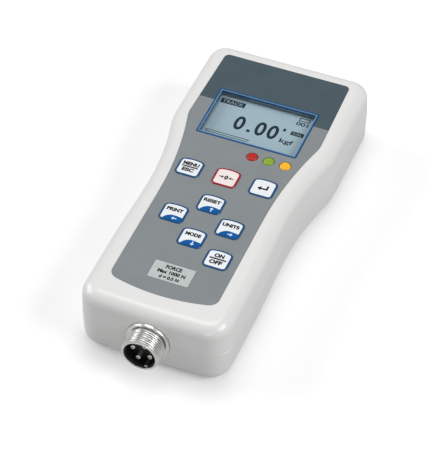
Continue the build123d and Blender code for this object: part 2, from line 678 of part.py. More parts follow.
# Casing screws and the feet that hide them
with BuildPart() as case_screws:
    with BuildSketch(Plane.XY.offset(CASE_SEAT_Z)):
        with Locations(*FOOT_PLACES):
            Circle(CASE_HEAD_RADIUS)
    extrude(amount=-CASE_HEAD_HEIGHT)
    with BuildSketch(Plane.XY.offset(CASE_SEAT_Z)):
        with Locations(*FOOT_PLACES):
            Circle(CASE_SCREW_RADIUS)
    extrude(amount=CASE_SCREW_LENGTH)
finish(case_screws, "case_screws")

with BuildPart() as rubber_feet:
    with BuildSketch():
        with Locations(*FOOT_PLACES):
            Circle(FOOT_RADIUS)
    extrude(amount=FOOT_REACH + FOOT_RECESS)
    chamfer(rubber_feet.edges().group_by(Axis.Z)[0], FOOT_EDGE)
finish(rubber_feet, "rubber_feet")

# Battery cells, contacts and cover
CELL_ROWS = [BAY_Y + (n - (CELL_COUNT - 1) / 2) * CELL_PITCH for n in range(CELL_COUNT)]
with BuildPart() as battery_cells:
    for n, row_y in enumerate(CELL_ROWS):
        side = 1 if n % 2 else -1
        end_x = side * (BAY_WIDTH / 2 - CONTACT_THICKNESS - CELL_CAP_LENGTH)
        with BuildSketch(Plane(origin=(end_x, row_y, CELL_Z), x_dir=(0, 1, 0), z_dir=(side, 0, 0))):
            Circle(CELL_RADIUS)
        extrude(amount=-CELL_LENGTH)
        with BuildSketch(Plane(origin=(end_x, row_y, CELL_Z), x_dir=(0, 1, 0), z_dir=(side, 0, 0))):
            Circle(CELL_CAP_RADIUS)
        extrude(amount=CELL_CAP_LENGTH)
finish(battery_cells, "battery_cells")

with BuildPart() as battery_contacts:
    with Locations(*[(0, row_y, CELL_Z) for row_y in CELL_ROWS]):
        with GridLocations(BAY_WIDTH - CONTACT_THICKNESS, 0, 2, 1):
            Box(CONTACT_THICKNESS, CONTACT_SIZE, CONTACT_SIZE)
finish(battery_contacts, "battery_contacts")

with BuildPart() as battery_cover:
    with BuildSketch(Plane.XY.offset(CASE_BOTTOM_Z)):
        add(cover_outline())
    extrude(amount=COVER_THICKNESS)
    with BuildSketch(Plane.XY.offset(CASE_BOTTOM_Z)):
        with Locations(*COVER_SCREW_PLACES):
            Circle(COVER_HEAD_RADIUS + SCREW_GAP)
    extrude(amount=COVER_HEAD_HEIGHT, mode=Mode.SUBTRACT)
    with BuildSketch(Plane.XY.offset(CASE_BOTTOM_Z)):
        with Locations(*COVER_SCREW_PLACES):
            Circle(COVER_SCREW_RADIUS + SCREW_GAP)
    extrude(amount=COVER_THICKNESS, mode=Mode.SUBTRACT)
finish(battery_cover, "battery_cover")

with BuildPart() as cover_screws:
    with BuildSketch(Plane.XY.offset(CASE_BOTTOM_Z)):
        with Locations(*COVER_SCREW_PLACES):
            Circle(COVER_HEAD_RADIUS)
    extrude(amount=COVER_HEAD_HEIGHT)
    with BuildSketch(Plane.XY.offset(CASE_BOTTOM_Z + COVER_HEAD_HEIGHT)):
        with Locations(*COVER_SCREW_PLACES):
            Circle(COVER_SCREW_RADIUS)
    extrude(amount=COVER_SCREW_LENGTH - COVER_HEAD_HEIGHT)
finish(cover_screws, "cover_screws")

# Sensor connector
with BuildPart() as connector_shell:
    with BuildSketch(CONNECTOR_SECTION):
        with BuildLine():
            Polyline(
                (RIM_Y, SHELL_BORE),
                (RIM_Y, THREAD_RADIUS - SHELL_CHAMFER),
                (RIM_Y + SHELL_CHAMFER, THREAD_RADIUS),
                (FLANGE_FRONT_Y - NECK_GROOVE, THREAD_RADIUS),
                (FLANGE_FRONT_Y - NECK_GROOVE, THREAD_RADIUS - NECK_DEPTH),
                (FLANGE_FRONT_Y, THREAD_RADIUS - NECK_DEPTH),
                (FLANGE_FRONT_Y, FLANGE_RADIUS),
                (SEAT_Y, FLANGE_RADIUS),
                (SEAT_Y, THREAD_RADIUS),
                (SHELL_END_Y, THREAD_RADIUS),
                (SHELL_END_Y, SHELL_BORE),
                close=True,
            )
        make_face()
    revolve(axis=CONNECTOR_AXIS)
    with BuildSketch(KEY_PLANE.offset(-WELL_Y)):
        with Locations((0, KEYWAY_RISE - SHELL_BORE)):
            Rectangle(
                KEYWAY_WIDTH, KEYWAY_RISE + SHELL_CHAMFER, align=(Align.CENTER, Align.MAX)
            )
    extrude(amount=WELL_DEPTH - LINING_SETBACK)
finish(connector_shell, "connector_shell")

with BuildPart() as connector_insulator:
    with BuildSketch(CONNECTOR_SECTION):
        with BuildLine():
            Polyline(
                (RIM_Y + LINING_SETBACK, INSULATOR_RADIUS - LINING),
                (RIM_Y + LINING_SETBACK, INSULATOR_RADIUS),
                (INSULATOR_END_Y, INSULATOR_RADIUS),
                (INSULATOR_END_Y, 0),
                (WELL_Y, 0),
                (WELL_Y, INSULATOR_RADIUS - LINING),
                close=True,
            )
        make_face()
    revolve(axis=CONNECTOR_AXIS)
    with BuildSketch(KEY_PLANE.offset(-WELL_Y)):
        with Locations((0, KEYWAY_RISE - SHELL_BORE)):
            Rectangle(
                KEYWAY_WIDTH + 2 * HOLE_GAP,
                KEYWAY_RISE + SHELL_CHAMFER,
                align=(Align.CENTER, Align.MAX),
            )
    extrude(amount=WELL_DEPTH, mode=Mode.SUBTRACT)
    with BuildSketch(KEY_PLANE.offset(-INSULATOR_END_Y)):
        with PolarLocations(PIN_RING_RADIUS, 4, start_angle=45):
            Circle(PIN_RADIUS + FIT_GAP)
    extrude(amount=INSULATOR_LENGTH, mode=Mode.SUBTRACT)
finish(connector_insulator, "connector_insulator")

with BuildPart() as connector_pins:
    with BuildSketch(KEY_PLANE.offset(-INSULATOR_END_Y - PIN_TAIL)):
        with PolarLocations(PIN_RING_RADIUS, 4, start_angle=45):
            Circle(PIN_RADIUS)
    extrude(amount=INSULATOR_END_Y + PIN_TAIL - RIM_Y - PIN_SETBACK)
    chamfer(connector_pins.edges().group_by(Axis.Y)[0], PIN_EDGE)
finish(connector_pins, "connector_pins")

with BuildPart() as connector_washer:
    with BuildSketch(CONNECTOR_PLANE.offset(-WASHER_END_Y)):
        Circle(WASHER_RADIUS)
        Circle(THREAD_RADIUS + HOLE_GAP, mode=Mode.SUBTRACT)
    extrude(amount=WASHER_THICKNESS)
finish(connector_washer, "connector_washer")

with BuildPart() as connector_nut:
    with BuildSketch(CONNECTOR_PLANE.offset(-NUT_END_Y)):
        RegularPolygon(NUT_FLATS / 2, 6, major_radius=False)
        Circle(THREAD_RADIUS + FIT_GAP, mode=Mode.SUBTRACT)
    extrude(amount=NUT_THICKNESS)
finish(connector_nut, "connector_nut")
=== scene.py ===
from math import asin, atan2, cos, degrees, pi, radians, sin

import bpy
from mathutils import Matrix, Vector


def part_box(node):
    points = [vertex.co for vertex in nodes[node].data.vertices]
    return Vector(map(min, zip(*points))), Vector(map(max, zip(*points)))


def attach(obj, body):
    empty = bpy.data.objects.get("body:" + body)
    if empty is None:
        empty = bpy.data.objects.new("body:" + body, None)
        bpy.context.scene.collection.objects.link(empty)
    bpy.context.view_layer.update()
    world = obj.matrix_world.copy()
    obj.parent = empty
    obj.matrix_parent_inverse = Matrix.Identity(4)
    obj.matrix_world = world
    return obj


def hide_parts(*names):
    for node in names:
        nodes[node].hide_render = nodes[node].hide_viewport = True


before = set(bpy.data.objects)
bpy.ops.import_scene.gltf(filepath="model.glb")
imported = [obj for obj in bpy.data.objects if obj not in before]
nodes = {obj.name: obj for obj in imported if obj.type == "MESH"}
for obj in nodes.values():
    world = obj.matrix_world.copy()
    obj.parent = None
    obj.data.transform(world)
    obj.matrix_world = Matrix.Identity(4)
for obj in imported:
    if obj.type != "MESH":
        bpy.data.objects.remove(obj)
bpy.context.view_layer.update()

MM = 0.001
scene = bpy.context.scene


def in_mm(node):
    """The lowest and highest corner of a CAD node, in millimetres."""
    return [tuple(value / MM for value in corner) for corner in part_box(node)]


# Materials


def tone(red, green, blue):
    """A colour written as 0 to 255 display values, as linear values."""
    linear = []
    for value in (red, green, blue):
        v = value / 255
        linear.append(v / 12.92 if v <= 0.04045 else ((v + 0.055) / 1.055) ** 2.4)
    return (*linear, 1.0)


class Surface:
    """A node material in the making: the principled shader plus what feeds it."""

    def __init__(self, name, roughness=0.4, metallic=0.0, coat=0.0, specular=0.5):
        self.material = bpy.data.materials.new(name)
        self.material.use_nodes = True
        self.tree = self.material.node_tree
        self.shader = self.tree.nodes["Principled BSDF"]
        self.shader.inputs["Roughness"].default_value = roughness
        self.shader.inputs["Metallic"].default_value = metallic
        self.shader.inputs["Coat Weight"].default_value = coat
        self.shader.inputs["Coat Roughness"].default_value = 0.12
        self.shader.inputs["Specular IOR Level"].default_value = specular
        self.coords = self.tree.nodes.new("ShaderNodeTexCoord")

    def link(self, source, target):
        """Feed one socket into another."""
        self.tree.links.new(source, target)

    def noise(self, scale, detail=2.0, stretch=None):
        """Noise over the object's own coordinates, scale in features per metre."""
        texture = self.tree.nodes.new("ShaderNodeTexNoise")
        texture.inputs["Scale"].default_value = scale
        texture.inputs["Detail"].default_value = detail
        source = self.coords.outputs["Object"]
        if stretch:
            mapping = self.tree.nodes.new("ShaderNodeMapping")
            mapping.inputs["Scale"].default_value = stretch
            self.link(source, mapping.inputs["Vector"])
            source = mapping.outputs["Vector"]
        self.link(source, texture.inputs["Vector"])
        return texture.outputs["Fac"]

    def spread(self, value, low, high, from_low=0.3, from_high=0.7):
        """A span of values mapped onto another span, held at its ends."""
        node = self.tree.nodes.new("ShaderNodeMapRange")
        node.inputs["From Min"].default_value = from_low
        node.inputs["From Max"].default_value = from_high
        node.inputs["To Min"].default_value = low
        node.inputs["To Max"].default_value = high
        self.link(value, node.inputs["Value"])
        return node.outputs["Result"]

    def mix(self, factor, first, second):
        """The first colour where the factor is 0, the second where it is 1."""
        node = self.tree.nodes.new("ShaderNodeMix")
        node.data_type = "RGBA"
        self.link(factor, node.inputs["Factor"])
        for value, name in ((first, "A"), (second, "B")):
            socket = [s for s in node.inputs if s.name == name and s.type == "RGBA"][0]
            if isinstance(value, tuple):
                socket.default_value = value
            else:
                self.link(value, socket)
        return [s for s in node.outputs if s.type == "RGBA"][0]

    def above(self, axis, limit, soft=0.00002):
        """0 below the limit and 1 above it, along one of the object's own axes."""
        split = self.tree.nodes.new("ShaderNodeSeparateXYZ")
        self.link(self.coords.outputs["Object"], split.inputs["Vector"])
        return self.spread(split.outputs[axis], 0.0, 1.0, limit - soft, limit + soft)

    def inside(self, low, high):
        """1 between two corners along X and Y and 0 outside them."""
        spans = []
        for axis, first, last in zip("XY", low, high):
            spans.append(self.combine("SUBTRACT", self.above(axis, first), self.above(axis, last)))
        return self.combine("MULTIPLY", *spans)

    def combine(self, operation, first, second):
        """Two values taken through one sum."""
        node = self.tree.nodes.new("ShaderNodeMath")
        node.operation = operation
        self.link(first, node.inputs[0])
        self.link(second, node.inputs[1])
        return node.outputs["Value"]

    def distance_from(self, centre, weights):
        """The distance from a point, along the axes whose weight is 1."""
        shift = self.tree.nodes.new("ShaderNodeVectorMath")
        shift.operation = "SUBTRACT"
        shift.inputs[1].default_value = centre
        self.link(self.coords.outputs["Object"], shift.inputs[0])
        flat = self.tree.nodes.new("ShaderNodeVectorMath")
        flat.operation = "MULTIPLY"
        flat.inputs[1].default_value = weights
        self.link(shift.outputs[0], flat.inputs[0])
        length = self.tree.nodes.new("ShaderNodeVectorMath")
        length.operation = "LENGTH"
        self.link(flat.outputs[0], length.inputs[0])
        return length.outputs["Value"]

    def colour(self, source):
        """Set the base colour, plain or from a socket."""
        if isinstance(source, tuple):
            self.shader.inputs["Base Color"].default_value = source
        else:
            self.link(source, self.shader.inputs["Base Color"])

    def mottled(self, colour, scale=60.0, amount=0.04):
        """A colour that drifts a little over the surface."""
        low = tuple(c * (1 - amount) for c in colour[:3]) + (1.0,)
        high = tuple(min(1.0, c * (1 + amount)) for c in colour[:3]) + (1.0,)
        return self.mix(self.spread(self.noise(scale, 3.0), 0.0, 1.0), low, high)

    def grain(self, scale, strength, distance=0.00002, stretch=None):
        """Fine bumps, with their depth in metres."""
        bump = self.tree.nodes.new("ShaderNodeBump")
        bump.inputs["Strength"].default_value = strength
        bump.inputs["Distance"].default_value = distance
        self.link(self.noise(scale, 2.0, stretch), bump.inputs["Height"])
        self.link(bump.outputs["Normal"], self.shader.inputs["Normal"])

    def rough(self, low, high, scale=120.0):
        """A roughness that drifts between two values."""
        self.link(self.spread(self.noise(scale, 3.0), low, high), self.shader.inputs["Roughness"])


def plain(name, colour, roughness=0.4, amount=0.04, scale=80.0, grain=None, **more):
    """A moulded or printed surface of one colour, with a slight drift and an optional grain."""
    surface = Surface(name, roughness, **more)
    surface.colour(surface.mottled(colour, scale, amount))
    surface.rough(roughness * 0.9, roughness * 1.1)
    if grain:
        surface.grain(*grain)
    return surface.material


WINDOW_LOW, WINDOW_HIGH = in_mm("display_window")
# how far past the display window the painted shade on the casing walls reaches
SHADED_WALL_MARGIN = 0.6


def make_casing():
    """Pale plastic, with painted shade on the walls round the display window."""
    surface = Surface("casing_plastic", roughness=0.29, coat=0.3)
    pale = surface.mottled(tone(225, 225, 224), 18.0, 0.008)
    low = [(value - SHADED_WALL_MARGIN) * MM for value in WINDOW_LOW[:2]]
    high = [(value + SHADED_WALL_MARGIN) * MM for value in WINDOW_HIGH[:2]]
    # painted shade: the walls round the display window are coloured dark grey-blue
    surface.colour(surface.mix(surface.inside(low, high), pale, tone(84, 98, 106)))
    surface.rough(0.28, 0.305, 40.0)
    surface.grain(3400.0, 0.08, 0.00001)
    return surface.material


PANEL_SPLIT_Y = 49.25


def make_panel():
    """Printed film: mid grey, with a dark zone at the display end."""
    surface = Surface("panel_print", roughness=0.42, specular=0.12)
    dark = surface.mottled(tone(72, 86, 94), 90.0, 0.05)
    grey = surface.mottled(tone(132, 137, 140), 90.0, 0.03)
    surface.colour(surface.mix(surface.above("Y", PANEL_SPLIT_Y * MM), grey, dark))
    surface.rough(0.38, 0.48)
    surface.grain(5200.0, 0.12, 0.00001)
    return surface.material


KEY_LOW, KEY_HIGH = in_mm("key_menu")
KEY_TOP = KEY_HIGH[2]
BLUE = tone(0, 74, 124)
RED = tone(158, 26, 42)
INK = tone(18, 18, 19)


def make_key(name, face, edge):
    """White face, with the printed edge colour running over the chamfer and down the side."""
    surface = Surface(name, roughness=0.35, coat=0.1)
    top = surface.mottled(face, 300.0, 0.03)
    rim = surface.mottled(edge, 300.0, 0.06)
    surface.colour(surface.mix(surface.above("Z", (KEY_TOP - 0.01) * MM, 0.000004), rim, top))
    surface.rough(0.3, 0.4, 400.0)
    return surface.material


def make_lcd():
    """The pale display glass, with the faint upright lines of its electrodes."""
    surface = Surface("lcd_glass", roughness=0.3, specular=0.3)
    field = surface.mottled(tone(166, 190, 201), 30.0, 0.03)
    lines = surface.tree.nodes.new("ShaderNodeTexWave")
    lines.wave_type = "BANDS"
    lines.bands_direction = "X"
    lines.inputs["Scale"].default_value = 640.0
    surface.link(surface.coords.outputs["Object"], lines.inputs["Vector"])
    faint = surface.spread(lines.outputs["Fac"], 0.0, 0.05, 0.0, 1.0)
    surface.colour(surface.mix(faint, field, tone(120, 140, 150)))
    surface.rough(0.28, 0.36)
    return surface.material


def make_window():
    surface = Surface("display_window", roughness=0.06, specular=0.35)
    surface.colour(surface.mottled(tone(96, 114, 124), 40.0, 0.02))
    surface.shader.inputs["Alpha"].default_value = 0.05
    surface.rough(0.04, 0.1, 80.0)
    return surface.material


def make_lamp(name, colour):
    surface = Surface(name, roughness=0.38, coat=0.05, specular=0.3)
    surface.colour(surface.mottled(colour, 700.0, 0.08))
    surface.shader.inputs["Subsurface Weight"].default_value = 0.2
    surface.shader.inputs["Subsurface Radius"].default_value = (0.001, 0.001, 0.001)
    surface.rough(0.28, 0.36, 500.0)
    return surface.material


def make_nickel(name, colour=(0.66, 0.655, 0.64, 1.0), roughness=0.2, stretch=(1, 30, 1)):
    surface = Surface(name, roughness, metallic=1.0)
    surface.colour(surface.mottled(colour, 250.0, 0.08))
    surface.rough(roughness * 0.75, roughness * 1.35, 500.0)
    surface.grain(900.0, 0.15, 0.00001, stretch)
    return surface.material


SHELL_LOW, SHELL_HIGH = in_mm("connector_shell")
RIM_Y, SHELL_END_Y = SHELL_LOW[1], SHELL_HIGH[1]
NECK_Y, FLANGE_Y, SEAT_Y = RIM_Y + 7.2, RIM_Y + 8.0, RIM_Y + 9.5
FLANGE_RADIUS = SHELL_HIGH[0]
AXIS_Z = (SHELL_LOW[2] + SHELL_HIGH[2]) / 2
THREAD_RADIUS, THREAD_PITCH, THREAD_DEPTH = 8.0, 1.0, 0.6
SHELL_BORE = 6.9


def make_thread_metal():
    """Nickel with painted shade that darkens each thread groove towards its bottom."""
    surface = Surface("thread_nickel_painted_shade", 0.22, metallic=1.0)
    radius = surface.distance_from((0, 0, AXIS_Z * MM), (1, 0, 1))
    low = (THREAD_RADIUS - THREAD_DEPTH) * MM
    # painted shade: 0 at the bottom of a thread groove, rising to 1 towards its crest
    clear = surface.spread(radius, 0.0, 1.0, low, low + 0.42 * MM)
    bright = surface.mottled((0.72, 0.715, 0.70, 1.0), 250.0, 0.08)
    # painted shade: dark grey at each groove bottom, mixed into the nickel
    shaded_grooves = surface.mix(clear, tone(98, 98, 96), bright)
    inside = surface.above("Y", (RIM_Y + 0.35) * MM)
    past = surface.above("Y", NECK_Y * MM)
    surface.colour(surface.mix(past, surface.mix(inside, bright, shaded_grooves), bright))
    surface.rough(0.16, 0.27, 500.0)
    surface.grain(900.0, 0.12, 0.00001, (1, 30, 1))
    return surface.material


MATERIALS = {
    "casing": make_casing(),
    "panel": make_panel(),
    "frame": plain("frame_print", tone(0, 76, 130), 0.4, 0.08, 200.0, specular=0.15),
    "frame_edge": plain("frame_edge_print", tone(112, 146, 172), 0.4, 0.04, 200.0, specular=0.2),
    "lcd": make_lcd(),
    "window": make_window(),
    "key": make_key("key_plastic", tone(232, 236, 239), BLUE),
    "zero_key": make_key("key_zero_plastic", tone(238, 226, 224), RED),
    "ring": plain("ring_print", BLUE, 0.4, 0.08, 300.0, specular=0.12),
    "zero_ring": plain("zero_ring_print", RED, 0.4, 0.08, 300.0, specular=0.12),
    "blue_area": plain("blue_area_print", tone(0, 86, 158), 0.4, 0.06, 300.0, specular=0.12),
    "white_print": plain("white_print", tone(214, 230, 246), 0.4, 0.03, 300.0),
    "ink": plain("ink_print", INK, 0.5, 0.1, 300.0, specular=0.1),
    "segment": plain("segment_print", tone(14, 32, 44), 0.5, 0.1, 300.0, specular=0.1),
    "pale_segment": plain("pale_segment_print", tone(168, 188, 197), 0.4, 0.05, 300.0),
    "plate": plain("plate_metal", tone(186, 193, 190), 0.4, 0.06, 700.0, (2400.0, 0.2, 0.00001), specular=0.2),
    "lamp_red": make_lamp("lamp_red", tone(184, 24, 16)),
    "lamp_green": make_lamp("lamp_green", tone(136, 166, 42)),
    "lamp_amber": make_lamp("lamp_amber", tone(250, 184, 28)),
    "nickel": make_nickel("connector_nickel"),
    "thread": make_thread_metal(),
    "pin": plain("pin_nickel", tone(224, 222, 216), 0.25, 0.05, 900.0, metallic=0.85),
    "black": plain("insulator_black", tone(18, 19, 21), 0.4, 0.15, 400.0, (1800.0, 0.3, 0.00002)),
    "rubber": plain("foot_rubber", tone(38, 38, 40), 0.75, 0.1, 300.0, (1500.0, 0.6, 0.00003)),
    "steel": make_nickel("screw_steel", (0.6, 0.6, 0.6, 1.0), 0.28),
    "dark_plastic": plain("dark_plastic", tone(40, 41, 43), 0.5, 0.1, 200.0, (1500.0, 0.3, 0.00002)),
    "board": plain("circuit_board", tone(24, 92, 54), 0.4, 0.12, 900.0),
    "backlight": plain("backlight_plastic", tone(228, 232, 232), 0.5, 0.03),
    "cell": plain("cell_wrap", tone(52, 54, 60), 0.35, 0.1, 150.0),
}

NODE_MATERIALS = {
    "upper_casing": "casing",
    "lower_casing": "casing",
    "battery_cover": "casing",
    "front_panel": "panel",
    "display_frame": "frame",
    "lcd_glass": "lcd",
    "lcd_backlight": "backlight",
    "display_holder": "dark_plastic",
    "range_plate": "plate",
    "main_board": "board",
    "key_switches": "dark_plastic",
    "control_chips": "dark_plastic",
    "amplifier_shield": "steel",
    "board_screws": "steel",
    "case_screws": "steel",
    "cover_screws": "steel",
    "rubber_feet": "rubber",
    "battery_cells": "cell",
    "battery_contacts": "steel",
    "connector_washer": "nickel",
    "connector_nut": "nickel",
    "connector_insulator": "black",
    "connector_pins": "pin",
    "lamp_red": "lamp_red",
    "lamp_green": "lamp_green",
    "lamp_amber": "lamp_amber",
}
KEYS = ["key_menu", "key_zero", "key_enter", "key_reset", "key_print", "key_units", "key_mode", "key_power"]
for key in KEYS:
    NODE_MATERIALS[key] = "zero_key" if key == "key_zero" else "key"
for node, material in NODE_MATERIALS.items():
    for slot in nodes[node].material_slots:
        slot.material = MATERIALS[material]


# Making pieces

PRINT_HEIGHT = 0.02
RAW_DEPTH = 0.5  # any depth will do here, because place_print gives each print its height


def add_piece(name, mesh, material, body="gauge"):
    """A new piece that moves with a body."""
    mesh.materials.clear()
    mesh.materials.append(MATERIALS[material])
    piece = bpy.data.objects.new(name, mesh)
    scene.collection.objects.link(piece)
    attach(piece, body)
    return piece


def add_solid(name, points, faces, material):
    """A new piece from points in millimetres and the faces between them."""
    mesh = bpy.data.meshes.new(name)
    mesh.from_pydata([(x * MM, y * MM, z * MM) for x, y, z in points], [], faces)
    return add_piece(name, mesh, material)


def settle(curve, name):
    """The mesh of a filled curve or of words."""
    holder = bpy.data.objects.new(name, curve)
    scene.collection.objects.link(holder)
    bpy.context.view_layer.update()
    mesh = bpy.data.meshes.new_from_object(holder.evaluated_get(bpy.context.evaluated_depsgraph_get()))
    bpy.data.objects.remove(holder)
    return mesh


def place_print(mesh, centre, z, height, size=None):
    """Put a thin mesh at a centre in millimetres, fitted to a size, with its top at z plus height."""
    xs = [v.co.x for v in mesh.vertices]
    ys = [v.co.y for v in mesh.vertices]
    zs = [v.co.z for v in mesh.vertices]
    middle = ((min(xs) + max(xs)) / 2, (min(ys) + max(ys)) / 2) if size else (0, 0)
    scale = (size[0] / (max(xs) - min(xs)), size[1] / (max(ys) - min(ys))) if size else (1, 1)
    for v in mesh.vertices:
        x = centre[0] + (v.co.x - middle[0]) * scale[0]
        y = centre[1] + (v.co.y - middle[1]) * scale[1]
        part = (v.co.z - min(zs)) / (max(zs) - min(zs))
        v.co = (x * MM, y * MM, (z - height + 2 * height * part) * MM)


def print_shape(name, loops, centre, z, material, body="gauge", height=PRINT_HEIGHT):
    """Closed outlines as a thin raised print: a loop inside another one is a hole."""
    curve = bpy.data.curves.new(name, "CURVE")
    curve.dimensions = "2D"
    curve.fill_mode = "BOTH"
    curve.extrude = RAW_DEPTH
    for loop in loops:
        spline = curve.splines.new("POLY")
        spline.points.add(len(loop) - 1)
        for point, (x, y) in zip(spline.points, loop):
            point.co = (x, y, 0, 1)
        spline.use_cyclic_u = True
    mesh = settle(curve, name)
    place_print(mesh, centre, z, height)
    return add_piece(name, mesh, material, body)


def print_words(name, words, centre, z, size, material, body="gauge", bold=0.0):
    """Words fitted to a width and a height, with their strokes thickened by bold."""
    curve = bpy.data.curves.new(name, "FONT")
    curve.body = words
    curve.extrude = RAW_DEPTH
    curve.offset = bold
    curve.resolution_u = 6
    mesh = settle(curve, name)
    place_print(mesh, centre, z, PRINT_HEIGHT, size)
    return add_piece(name, mesh, material, body)


def bar(width, height):
    """A rectangle round the origin."""
    return [(-width / 2, -height / 2), (width / 2, -height / 2), (width / 2, height / 2), (-width / 2, height / 2)]


def arc(x, y, radius, start, end, steps=12):
    """Points along an arc, with its angles in degrees."""
    angles = [radians(start + (end - start) * n / steps) for n in range(steps + 1)]
    return [(x + radius * cos(a), y + radius * sin(a)) for a in angles]


def turned(loop, angle):
    """An outline turned about the origin, in degrees."""
    c, s = cos(radians(angle)), sin(radians(angle))
    return [(x * c - y * s, x * s + y * c) for x, y in loop]


def arrow_loop(length, head, stem, head_length):
    """An arrow that points to the right, centred on its length."""
    neck = length / 2 - head_length
    lower = [(-length / 2, -stem / 2), (neck, -stem / 2), (neck, -head / 2)]
    return lower + [(length / 2, 0)] + [(x, -y) for x, y in reversed(lower)]


# Keys

# the solid's flange under the panel, the rise of its arched far edge and its corners
KEY_FLANGE, KEY_ARCH, KEY_CORNER = 0.7, 0.9, 2.0
KEY_W = KEY_HIGH[0] - KEY_LOW[0] - 2 * KEY_FLANGE
KEY_H = KEY_HIGH[1] - KEY_LOW[1] - 2 * KEY_FLANGE
RING_OUTSIDE, RING_INSIDE = 0.19, 0.80
ARROWS = {"key_reset": 90, "key_print": 180, "key_units": 0, "key_mode": 270}
# each arrow's length, head width, stem width and head length
FOOT_ARROW, FOOT_ARROW_X, FOOT_ARROW_Y, FOOT_ARROW_HEIGHT = (2.3, 1.8, 0.5, 1.0), 1.3, -3.1, 0.035
ZERO_ARROW, ZERO_ARROW_X, ZERO_ARROW_Y = (2.1, 1.6, 0.45, 0.9), 2.15, -0.1
# the circle's middle and radius, the fall of the edge to its right, and the points along that
FOOT_X, FOOT_Y, FOOT_RADIUS, FOOT_FALL, FOOT_STEPS = 0.6, -5.7, 4.3, 0.03, 10
WORD_BOLD = 0.055
KEY_BAR_LENGTH, MENU_BAR_WIDTH, POWER_BAR_WIDTH, KEY_BAR_Y = 7.2, 0.7, 0.75, 0.15


def key_place(node):
    """The middle of a key, seen from above."""
    low, high = in_mm(node)
    return (low[0] + high[0]) / 2, (low[1] + high[1]) / 2


def key_loop(inset):
    """The key's outline moved inwards: straight sides, round corners and an arched far edge."""
    half = KEY_W / 2
    radius = (half ** 2 + KEY_ARCH ** 2) / (2 * KEY_ARCH)
    centre_y = KEY_H / 2 - radius
    far_x = half - KEY_CORNER
    far_y = centre_y + ((radius - KEY_CORNER) ** 2 - far_x ** 2) ** 0.5
    near_y = KEY_CORNER - KEY_H / 2
    lean = 90 - degrees(atan2(far_y - centre_y, far_x))
    r = KEY_CORNER - inset
    loop = arc(-far_x, near_y, r, 180, 270) + arc(far_x, near_y, r, 270, 360)
    loop += arc(far_x, far_y, r, 0, 90 - lean)
    loop += arc(0, centre_y, radius - inset, 90 - lean, 90 + lean, 20)[1:-1]
    return loop + arc(-far_x, far_y, r, 90 + lean, 180)


def foot_loop():
    """The blue foot of an arrow key: a circle's top that runs gently down to the right side."""
    bottom = RING_INSIDE - KEY_H / 2
    right = KEY_W / 2 - RING_INSIDE
    loop = arc(KEY_W / 2 - KEY_CORNER, KEY_CORNER - KEY_H / 2, KEY_CORNER - RING_INSIDE, 270, 360)
    for n in range(FOOT_STEPS):
        x = right + (FOOT_X - right) * n / FOOT_STEPS
        loop.append((x, FOOT_Y + FOOT_RADIUS - FOOT_FALL * (x - FOOT_X) ** 2))
    end = 180 - degrees(asin((bottom - FOOT_Y) / FOOT_RADIUS))
    return loop + arc(FOOT_X, FOOT_Y, FOOT_RADIUS, 90, end, 18)


for key in KEYS:
    body = key[4:] + "_key"
    x, y = key_place(key)
    ring = "zero_ring" if key == "key_zero" else "ring"
    print_shape(key + "_ring", [key_loop(RING_OUTSIDE), key_loop(RING_INSIDE)], (x, y), KEY_TOP, ring, body)
    if key in ARROWS:
        print_shape(key + "_foot", [foot_loop()], (x, y), KEY_TOP, "blue_area", body)
        arrow = turned(arrow_loop(*FOOT_ARROW), ARROWS[key])
        place = (x + FOOT_ARROW_X, y + FOOT_ARROW_Y)
        print_shape(key + "_arrow", [arrow], place, KEY_TOP, "white_print", body, FOOT_ARROW_HEIGHT)

# each word's piece, text, key, shift from the key's middle, width and height
KEY_WORDS = [
    ("menu_word", "MENU", "menu", 0.0, 1.9, 7.2, 2.1),
    ("escape_word", "ESC", "menu", -0.2, -1.7, 5.2, 2.1),
    ("zero_figure", "0", "zero", 0.0, -0.1, 1.6, 2.4),
    ("reset_word", "RESET", "reset", -0.1, 1.7, 7.6, 2.0),
    ("print_word", "PRINT", "print", -0.1, 1.7, 7.2, 2.0),
    ("units_word", "UNITS", "units", -0.1, 1.7, 7.4, 2.0),
    ("mode_word", "MODE", "mode", -0.1, 1.7, 6.8, 2.0),
    ("on_word", "ON", "power", 0.0, 2.0, 4.2, 2.2),
    ("off_word", "OFF", "power", -0.2, -1.8, 5.6, 2.2),
]
for name, words, key, shift_x, shift_y, width, height in KEY_WORDS:
    x, y = key_place("key_" + key)
    place = (x + shift_x, y + shift_y)
    print_words(name, words, place, KEY_TOP, (width, height), "ink", key + "_key", WORD_BOLD)

for key, bar_width in (("menu", MENU_BAR_WIDTH), ("power", POWER_BAR_WIDTH)):
    x, y = key_place("key_" + key)
    key_bar = bar(KEY_BAR_LENGTH, bar_width)
    print_shape(key + "_bar", [key_bar], (x, y + KEY_BAR_Y), KEY_TOP, "ink", key + "_key")

x, y = key_place("key_zero")
for name, side, angle in (("zero_arrow_left", -1, 0), ("zero_arrow_right", 1, 180)):
    arrow = turned(arrow_loop(*ZERO_ARROW), angle)
    print_shape(name, [arrow], (x + side * ZERO_ARROW_X, y + ZERO_ARROW_Y), KEY_TOP, "ink", "zero_key")

# the hooked arrow is an arrow head, a stem and an upright at the stem's far end
hook = [(-2.5, -0.5), (-0.9, 0.75), (-0.9, -0.1), (1.3, -0.1), (1.3, 1.6), (2.1, 1.6), (2.1, -0.95)]
hook += [(-0.9, -0.95), (-0.9, -1.75)]
x, y = key_place("key_enter")
print_shape("enter_arrow", [hook], (x + 0.1, y), KEY_TOP, "ink", "enter_key")


# Display

